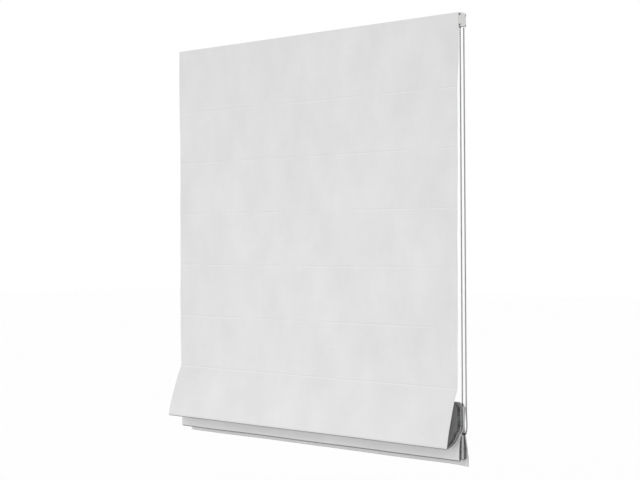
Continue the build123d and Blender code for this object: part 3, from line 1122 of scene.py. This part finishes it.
@dataclass
class Fabric:
    """The blind's cloth: the flat part, the gathered part and the stitches of both."""

    drape: Drape
    column_pitch: float = 7.5
    row_pitch: float = 9.0
    fold_columns: float = 11.0
    fold_step: float = 7.0
    fold_turn: float = 16.0
    least_row: float = 0.9

    # The gathered cloth, as (distance behind the cloth's front plane, height above the crease, arc radius).
    fold_line = [
        (0.3, 0.0, 0.0), (0.3, -2.5, 4.0), (-14.0, -30.0, 60.0), (-46.5, -118.0, 120.0), (-55.0, -164.0, 5.0),
        (-10.0, -154.5, 60.0), (17.5, -126.0, 45.0), (17.5, -43.0, 1.45), (20.5, -43.0, 1.45),
        (21.0, -118.0, 60.0), (8.5, -152.0, 40.0), (8.0, -204.0, 8.0), (24.7, -204.0, 8.0),
        (24.5, -108.0, 90.0), (33.5, -48.0, 1.45), (36.5, -48.0, 1.45), (27.5, -106.0, 90.0),
        (31.0, -203.5, 8.5), (49.5, -203.5, 8.5), (50.0, -172.0, 40.0), (30.5, -104.0, 90.0),
        (41.0, -57.0, 1.45), (44.0, -57.0, 1.45), (33.5, -104.0, 90.0), (54.0, -180.0, 60.0),
        (54.0, -221.0, 2.1), (58.4, -221.0, 2.1), (58.4, -192.0, 0.0),
    ]

    seam_rows = [0.0, 4.5, 6.4, 8.0, 9.6, 12.0]
    crease_rows = [0.0, 1.3, 2.6, 4.2, 6.5, 10.0]

    def flat_line(self) -> np.ndarray:
        """Return the flat part's (y, z) points, close together at the creases."""
        y = self.drape.front + self.drape.thick / 2
        drop = self.drape.flat_drop
        spots = {*self.seam_rows, drop, *np.linspace(0.0, drop, round(drop / self.row_pitch))}
        for place, _ in Creases(self.drape).places():
            spots.update(place + side * gap for gap in self.crease_rows for side in (-1, 1))
        kept: list[float] = []
        for spot in sorted(spots):
            if not kept or spot - kept[-1] > self.least_row:
                kept.append(float(spot))
        kept[-1] = drop
        return np.array([(y, self.drape.top - spot) for spot in kept])

    def gathered_line(self) -> np.ndarray:
        """Return the gathered part's (y, z) points."""
        corners = [(self.drape.front + d, self.drape.crease + h, r) for d, h, r in self.fold_line]
        return rounded(corners, step=self.fold_step, turn_step=self.fold_turn)

    def build(self) -> None:
        """Make the cloth's flat part and gathered part with their stitches."""
        full = (self.drape.width + 2 * Cloth.hem) * MM
        upper = Cloth(self.drape, self.flat_line(), 0.0, Creases(self.drape))
        flat = upper.build("flat_cloth", self.column_pitch)
        settle(flat, "headrail", "cloth", "cloth_upper")
        stitch = upper.stitches("flat_cloth_stitches")
        settle(stitch, "headrail", "cloth")
        for piece in (flat, stitch):
            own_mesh(piece)
        LOG.info("flat cloth")
        line = self.gathered_line()
        lower = Cloth(self.drape, line, self.drape.flat_drop, no_crease)
        folds = lower.build("gathered_cloth", self.fold_columns)
        settle(folds, "stack", "cloth", "cloth_lower")
        stitch = lower.stitches("gathered_cloth_stitches")
        settle(stitch, "stack", "cloth")


@dataclass
class Pockets:
    """The sleeves that hold the battens on the cloth's back."""

    drape: Drape
    wall: float = 0.35
    reach: float = 3.2
    slack: float = 0.15
    past_end: float = 2.0
    step: float = 9.0
    bends: tuple[Pair, Pair] = ((-0.6, math.pi + 0.6), (-2.5, 2.5))
    foot_gap: float = 0.05
    foot_rise: float = 1.1
    tail: Pair = (1.0, 2.2)
    swell: Pair = (1.05, 0.1)

    def build(self) -> None:
        """Sew one sleeve over each batten."""
        for number in range(1, 7):
            low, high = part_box(f"batten_{number}")
            y, z = (low.y + high.y) / 2 / MM, (low.z + high.z) / 2 / MM
            radius = (high.z - low.z) / 2 / MM + self.slack
            piece = self.sleeve(number, y, z, radius, low.x / MM - self.past_end, high.x / MM + self.past_end)
            settle(piece, f"batten_{number}" if number < self.drape.flat_battens else "stack", "cloth")
        LOG.info("batten pockets")

    def sleeve(self, number: int, y: float, z: float, radius: float, x0: float, x1: float) -> bpy.types.Object:
        """Make one sleeve.

        Args:
            number: the batten's number.
            y: the batten's middle, front to back.
            z: the batten's height.
            radius: the sleeve's inner radius.
            x0: the sleeve's left end.
            x1: its right end.

        Returns:
            The piece, in metres.
        """
        flat = number <= self.drape.flat_battens
        angles = np.linspace(*self.bends[0], 11) if flat else np.linspace(*self.bends[1], 15)
        bend = [(radius * math.sin(t), radius * math.cos(t)) for t in angles]
        if flat:
            foot, rise = -radius - self.foot_gap, radius * self.foot_rise
            outline = np.array([(foot, self.reach), (foot, rise), *bend, (foot, -rise), (foot, -self.reach)])
        else:
            out, low = self.tail[0], -radius - self.tail[1]
            outline = np.array([(-out, low), *bend, (out, low)])
        tangent = np.gradient(outline, axis=0)
        tangent /= np.linalg.norm(tangent, axis=1)[:, None]
        side = np.stack([tangent[:, 1], -tangent[:, 0]], axis=1)
        if side[len(side) // 2][0 if flat else 1] < 0:
            side = -side
        ring = np.concatenate([outline, (outline + side * self.wall)[::-1]])
        stations = np.linspace(x0, x1, round((x1 - x0 - 2 * self.past_end) / self.step))
        points = []
        for x in stations:
            swell = self.swell[0] + self.swell[1] * noise.noise(Vector((x / 14.0, number * 5.0, 0.0)))
            points += [(x, y + a * swell, z + b * swell) for a, b in ring]
        faces = tube_faces(len(stations), len(ring))
        return make_piece(f"pocket_{number}", np.array(points) * MM, faces, [POCKET])


# ---------------------------------------------------------------- chain and cords
@dataclass
class BeadChain:
    """The bead chain: its hanging loop, the stretch over the wheel and its clasp."""

    bead: float = 4.5
    pitch: float = 6.0
    wire: float = 0.5
    bead_steps: int = 7
    bead_sides: int = 11
    wire_sides: int = 6
    clasp_sides: int = 20
    clasp_size: Pair = (5.0, 3.05)
    wheel_beads: int = 10
    shaft: Pair = (-1.5, -21.0)
    across: float = 553.6
    exit_height: float = -40.3
    back_run: float = 1067.7
    clasp_up: float = 120.0
    clasp_gap: float = 4.0

    def route(self) -> list[Point]:
        """Return the hanging loop's points in metres, from the front exit to the back exit."""
        spots = [
            (-0.011049, -0.0403), (-0.010, -0.0700), (0.000, -0.9500), (0.001451, -1.1080), (-0.0041, -1.173718),
            (0.0110, -1.182436), (0.0261, -1.173718), (0.020549, -1.1080), (0.0190, -0.9500), (0.0083, -0.0700),
            (0.008049, -0.0403),
        ]
        return [(self.across * MM, y, z) for y, z in spots]

    def line(self) -> np.ndarray:
        """Draw the loop's smooth line.

        Returns:
            Close points along it, in metres.
        """
        curve = bpy.data.curves.new("chain_line", "CURVE")
        curve.dimensions = "3D"
        curve.resolution_u = 48
        spline = curve.splines.new("NURBS")
        points = self.route()
        spline.points.add(len(points) - 1)
        for spot, point in zip(spline.points, points):
            spot.co = (*point, 1.0)
        spline.order_u = 3
        spline.use_endpoint_u = True
        holder = bpy.data.objects.new("chain_line", curve)
        mesh = bpy.data.meshes.new_from_object(holder)
        line = np.array([v.co for v in mesh.vertices], float)
        bpy.data.objects.remove(holder)
        bpy.data.curves.remove(curve)
        bpy.data.meshes.remove(mesh)
        return line

    def beads(self, line: np.ndarray, name: str, skip: Optional[Pair] = None) -> bpy.types.Object:
        """Thread beads and their links along a line.

        Args:
            line: points in metres.
            name: the piece's name.
            skip: a stretch of the line, in metres, that another piece takes.

        Returns:
            The piece.
        """
        distance = along(line)
        heap = Heap()
        half, pitch = self.bead / 2 * MM, self.pitch * MM
        angles = np.linspace(0.0, math.pi, self.bead_steps + 1)[1:-1]
        profile = [(-half, 0.0), *((-half * math.cos(t), half * math.sin(t)) for t in angles), (half, 0.0)]
        count = int(distance[-1] / pitch)
        start = (distance[-1] - (count - 1) * pitch) / 2
        for at in start + pitch * np.arange(count):
            if skip and skip[0] < at < skip[1]:
                continue
            ahead, behind = (spot_on(line, distance, at + step * MM) for step in (1, -1))
            heap.put(*turned(profile, spot_on(line, distance, at), ahead - behind, self.bead_sides))
        heap.put(*tube_mesh(line, self.wire / 2 * MM, self.wire_sides))
        return heap.piece(name, NICKEL)

    def clasp(self, line: np.ndarray, at: float) -> bpy.types.Object:
        """Make the clasp: a slotted barrel that two beads snap into.

        Args:
            line: points along the chain, in metres.
            at: the clasp's distance along it.

        Returns:
            The piece.
        """
        distance = along(line)
        middle, ahead = spot_on(line, distance, at), spot_on(line, distance, at + 2 * MM)
        length, radius = self.clasp_size
        half = [(0.18, 0.86), (0.3, 1.0), (0.75, 1.0), (0.93, 0.85), (1.0, 0.45), (1.0, 0.0)]
        shares = [(-a, b) for a, b in reversed(half)] + half
        profile = [(a * length * MM, b * radius * MM) for a, b in shares]
        return make_piece("chain_clasp", *turned(profile, middle, ahead - middle, self.clasp_sides), [CLEAR])

    def wheel_line(self) -> np.ndarray:
        """Return the line over the wheel, inside the shroud, in metres."""
        radius = self.wheel_beads * self.pitch / (2 * math.pi)
        y, z = self.shaft
        rise = np.linspace(self.exit_height + 0.5, z, 6)
        spots = [(y - radius, h) for h in rise]
        spots += [(y - radius * math.cos(t), z + radius * math.sin(t)) for t in np.linspace(0, math.pi, 25)[1:]]
        spots += [(y + radius, h) for h in rise[::-1][1:]]
        return np.array([(self.across, a, b) for a, b in spots]) * MM

    def build(self) -> None:
        line = self.line()
        length = float(along(line)[-1])
        at = length - (self.back_run - self.clasp_up) * MM
        gap = self.clasp_gap * MM
        chain = self.beads(line, "bead_chain_loop", (at - gap, at + gap))
        clasp = self.clasp(line, at)
        over = self.beads(self.wheel_line(), "bead_chain_over_wheel")
        for piece, node in ((chain, "bead_chain"), (clasp, "chain_connector"), (over, "chain_over_wheel")):
            settle(piece, "headrail", "chain_metal", node)
        LOG.info("bead chain, %.3f m", length)


@dataclass
class LiftCords:
    """The lift cords: wound on the spools and tight down the back."""

    radius: float = 0.6
    count: int = 4
    sides: int = 8
    wound_sides: int = 6
    rows: int = 60
    wound_turns: int = 17
    turn_steps: int = 14
    looseness: float = 1.04
    drum: float = 8.0

    def build(self) -> None:
        """Make each cord's tight stretch and its turns on the spool."""
        for number in range(1, self.count + 1):
            low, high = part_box(f"lift_cord_{number}")
            x, y = (low.x + high.x) / 2, (low.y + high.y) / 2
            path = np.array([(x, y, z) for z in np.linspace(high.z, low.z, self.rows)])
            tight = make_piece(f"cord_tight_{number}", *tube_mesh(path, self.radius * MM, self.sides), [CORD])
            settle(tight, "headrail", "cord", f"lift_cord_{number}")
            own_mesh(tight)
            self.wound(number, x)

    def wound(self, number: int, x: float) -> None:
        """Wind the taken-up cord on its spool.

        Args:
            number: the cord's number.
            x: the cord's place across, in metres.
        """
        low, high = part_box(f"spool_{number}")
        y, z = (low.y + high.y) / 2, (low.z + high.z) / 2
        pitch = 2 * self.radius * MM * self.looseness
        reach = self.wound_turns * pitch / 2
        turns = np.linspace(0.0, self.wound_turns, self.wound_turns * self.turn_steps + 1)
        radius = (self.drum + self.radius) * MM
        angles = 2 * math.pi * turns
        path = np.stack([x - reach + pitch * turns, y - radius * np.cos(angles), z + radius * np.sin(angles)], axis=1)
        mesh = coil_mesh(path, y, z, self.radius * MM, self.wound_sides)
        settle(make_piece(f"cord_wound_{number}", *mesh, [CORD]), "drive", "cord")


# ---------------------------------------------------------------- carried pieces
class Hardware:
    """The pieces that come from the construction as they are, and only need a finish."""

    finishes: dict[str, Finish] = {
        "headrail": RAIL, "hook_tape": TAPE, "end_cap": WHITE, "control_housing": WHITE, "housing_cover": WHITE,
        "chain_wheel": CLEAR, "drive_shaft": STEEL, "bracket": STEEL, "spool": CLEAR, "cradle": WHITE,
        "batten": ROD, "rings": CLEAR, "cord_tail": CORD, "cord_stop": CLEAR, "bottom_bar": PAINT,
        "bar_cap": CLEAR, "lift_cord": CORD, "cloth": FACE, "bead_chain": NICKEL, "chain": NICKEL,
    }

    def build(self) -> None:
        """Dress every carried piece by the longest start of its name."""
        kinds = sorted(self.finishes.items(), key=lambda pair: -len(pair[0]))
        for name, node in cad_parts.items():
            finish = next(f for start, f in kinds if name.startswith(start))
            node.data.materials.clear()
            node.data.materials.append(finish.material())
            LOG.info("%s wears %s", name, finish.name)


@dataclass
class UnitLip:
    """The control unit's front lip, which closes the gap behind the cloth's edge."""

    across: Pair = (555.6, 558.5)
    depth: Pair = (-20.3, -15.0)
    height: Pair = (-39.4, -2.0)
    corner: float = 0.7
    draw: float = 0.5
    taper: float = 0.3

    def build(self) -> None:
        """Make the lip with chamfered long edges."""
        x0, x1 = self.across
        y0, y1 = self.depth
        c = self.corner
        nip = c * self.taper
        outline = [(x0, y1), (x0, y0 + c), (x0 + c, y0), (x1 - c, y0), (x1 - nip, y0 + nip), (x1, y0 + c), (x1, y1)]
        z0, z1 = self.height
        middle = (x0 + x1) / 2
        points = []
        for z, draw in ((z0, self.draw), (z0 + c, 0.0), (z1 - c, 0.0), (z1, self.draw)):
            share = 1 - draw * self.taper
            points += [(middle + (x - middle) * share, y + draw * (y < y1), z) for x, y in outline]
        faces = tube_faces(4, len(outline))
        piece = make_piece("unit_lip", np.array(points) * MM, faces, [WHITE], smooth=False)
        settle(piece, "headrail", "white_plastic")


@dataclass
class SnapLatches:
    """The heads of the latches that hold the control unit's cover, coloured near black as painted shade for the slots
    they sit in: each inner end, y and half width.
    """

    end: float = 558.95
    front: Point = (556.3, -19.35, 1.25)
    back: Point = (557.3, 9.9, 1.5)
    levels: Pair = (-8.0, -37.0)
    half_height: float = 2.1
    slope: float = 0.2

    def build(self) -> None:
        """Put a latch at each corner."""
        heap = Heap()
        for spot, level in product((self.front, self.back), self.levels):
            heap.put(*self.latch(spot, level))
        # The latch heads wear the near-black painted shade of the slots.
        settle(heap.piece("latch_heads_slot_shade", SLOT_SHADE, smooth=False), "headrail", "white_plastic")

    def latch(self, spot: Point, z: float) -> Mesh:
        """Make one wedge-shaped latch.

        Args:
            spot: its inner end, its place from front to back and its half width.
            z: its height.

        Returns:
            The vertices, in metres, and the faces.
        """
        low, y, half_width = spot
        corners = [(-1, -1), (1, -1), (1, 1), (-1, 1)]
        points = [(low, y + a * half_width, z + b * self.half_height) for a, b in corners]
        points += [(self.end - self.slope * (b < 0), y + a * half_width, z + b * self.half_height) for a, b in corners]
        return np.array(points) * MM, tube_faces(2, 4)


# ---------------------------------------------------------------- studio
@dataclass
class Room:
    """The plain studio around the blind."""

    floor_drop: float = 2.1
    size: float = 60.0
    white: float = 1.0
    lamps = [("key", (-0.2, -1.9, -1.35), (0.0, 0.0, -1.2), 1.3, 7.5),
             ("fill", (0.9, -3.4, -1.75), (0.0, 0.0, -1.25), 1.6, 12.0)]
    sensor: float = 36.0
    lens: float = 69.88
    shift: float = 0.012
    stand: Point = (2.458, -2.9279, -0.6571)
    turn: float = 39.57

    def build(self) -> None:
        """Lay the floor and set the lights and the camera."""
        half = self.size / 2
        points = np.array([(a * half, b * half, -self.floor_drop) for a, b in ((-1, -1), (1, -1), (1, 1), (-1, 1))])
        make_piece("floor", points, [(0, 1, 2, 3)], [Studio()], smooth=False)
        self.world(self.white)
        for lamp in self.lamps:
            self.lamp(*lamp)
        self.camera()
        bpy.context.scene.view_settings.view_transform = "Standard"

    @staticmethod
    def world(strength: float) -> None:
        """Light the room evenly from all round.

        Args:
            strength: how bright the white surroundings are.
        """
        world = bpy.data.worlds.new("studio_light")
        world.use_nodes = True
        background = world.node_tree.nodes["Background"]
        background.inputs["Color"].default_value = (1.0, 1.0, 1.0, 1.0)
        background.inputs["Strength"].default_value = strength
        bpy.context.scene.world = world

    @staticmethod
    def lamp(name: str, place: Point, aim: Point, size: float, power: float) -> None:
        """Hang one soft square lamp.

        Args:
            name: the lamp's name.
            place: where it hangs.
            aim: the point it faces.
            size: its side.
            power: its power in watts.
        """
        data = bpy.data.lights.new(name, "AREA")
        data.size = size
        data.energy = power
        lamp = bpy.data.objects.new(name, data)
        lamp.location = place
        lamp.rotation_euler = (Vector(aim) - Vector(place)).to_track_quat("-Z", "Y").to_euler()
        bpy.context.scene.collection.objects.link(lamp)

    def camera(self) -> None:
        """Stand the camera to the right of the blind, level, at about mid height."""
        data = bpy.data.cameras.new("camera")
        data.lens = self.lens
        data.sensor_width = self.sensor
        data.shift_y = self.shift
        camera = bpy.data.objects.new("camera", data)
        camera.location = self.stand
        camera.rotation_euler = (math.radians(90.0), 0.0, math.radians(self.turn))
        bpy.context.scene.collection.objects.link(camera)
        bpy.context.scene.camera = camera


def write_sizes() -> None:
    """Update the view layer."""
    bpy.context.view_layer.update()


def main() -> None:
    """Build every piece in order."""
    logging.basicConfig(level=logging.INFO, format="%(name)s: %(message)s")
    drape = Drape()
    Room().build()
    Hardware().build()
    UnitLip().build()
    SnapLatches().build()
    BeadChain().build()
    Fabric(drape).build()
    Pockets(drape).build()
    LiftCords().build()
    write_sizes()


if __name__ == "__main__":
    main()
